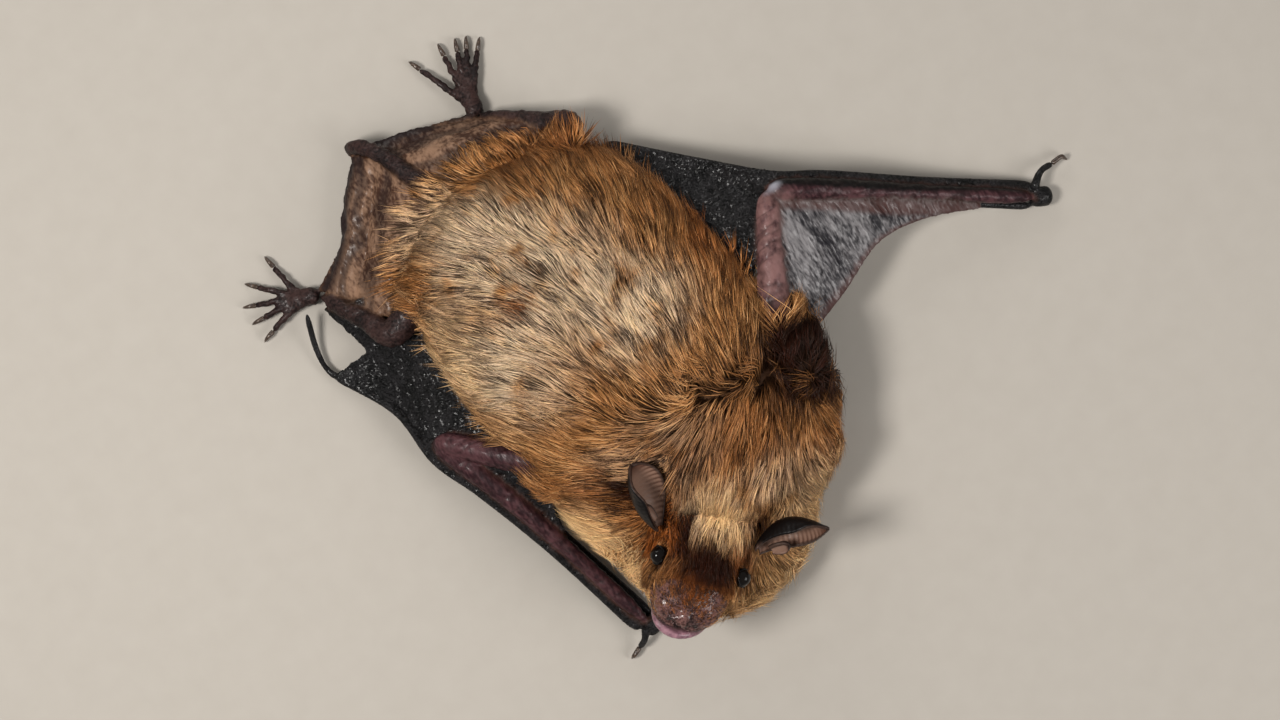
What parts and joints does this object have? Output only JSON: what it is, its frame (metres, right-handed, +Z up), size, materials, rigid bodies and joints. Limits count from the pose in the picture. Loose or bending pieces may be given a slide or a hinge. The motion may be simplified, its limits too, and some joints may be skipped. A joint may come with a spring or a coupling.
{
  "type": "big brown bat",
  "caption": "Life-size big brown bat resting on its belly with one wing half open, the other folded and the head turned to its right.",
  "frame": {"origin": "on the surface that the bat rests on, under the middle of its bounding box", "axes": "-Y from the rump towards the neck, +X towards the bat's left with the half-open wing, +Z up"},
  "size_m": [0.122, 0.1018, 0.0274],
  "materials": {
    "body_fur": "long glossy fur, straw tips over tawny brown",
    "face_fur": "short dark red-brown fur, bare muzzle",
    "lip": "moist pinkish skin",
    "ear": "thin dark skin",
    "eye": "wet black",
    "claw": "dark horn",
    "tail_skin": "soft brown skin",
    "leg_skin": "wrinkled dark skin",
    "wing_skin": "thin black-brown skin"
  },
  "bodies": {
    "root": {"head": "face_fur", "left_arm_skin": "wing_skin", "left_calcar": "leg_skin", "left_ear": "ear", "left_eye": "eye", "left_finger_3": "wing_skin", "left_finger_4": "wing_skin", "left_finger_5": "wing_skin", "left_flank_skin": "wing_skin", "left_foot": "leg_skin", "left_forearm": "wing_skin", "left_leg": "leg_skin", "left_tail_skin": "tail_skin", "left_thumb": "wing_skin", "left_thumb_claw": "claw", "left_toe_claw_1": "claw", "left_toe_claw_2": "claw", "left_toe_claw_3": "claw", "left_toe_claw_4": "claw", "left_toe_claw_5": "claw", "left_tragus": "ear", "left_upper_arm": "wing_skin", "left_wrist": "wing_skin", "lower_jaw": "lip", "neck": "body_fur", "right_arm_skin": "wing_skin", "right_calcar": "leg_skin", "right_ear": "ear", "right_eye": "eye", "right_finger_3": "wing_skin", "right_finger_3_tip": "wing_skin", "right_finger_4": "wing_skin", "right_finger_5": "wing_skin", "right_flank_skin": "wing_skin", "right_foot": "leg_skin", "right_forearm": "wing_skin", "right_leg": "leg_skin", "right_tail_skin": "tail_skin", "right_thumb": "wing_skin", "right_thumb_claw": "claw", "right_toe_claw_1": "claw", "right_toe_claw_2": "claw", "right_toe_claw_3": "claw", "right_toe_claw_4": "claw", "right_toe_claw_5": "claw", "right_tragus": "ear", "right_upper_arm": "wing_skin", "right_wrist": "wing_skin", "tail": "tail_skin", "trunk": "body_fur"}
  },
  "joints": []
}
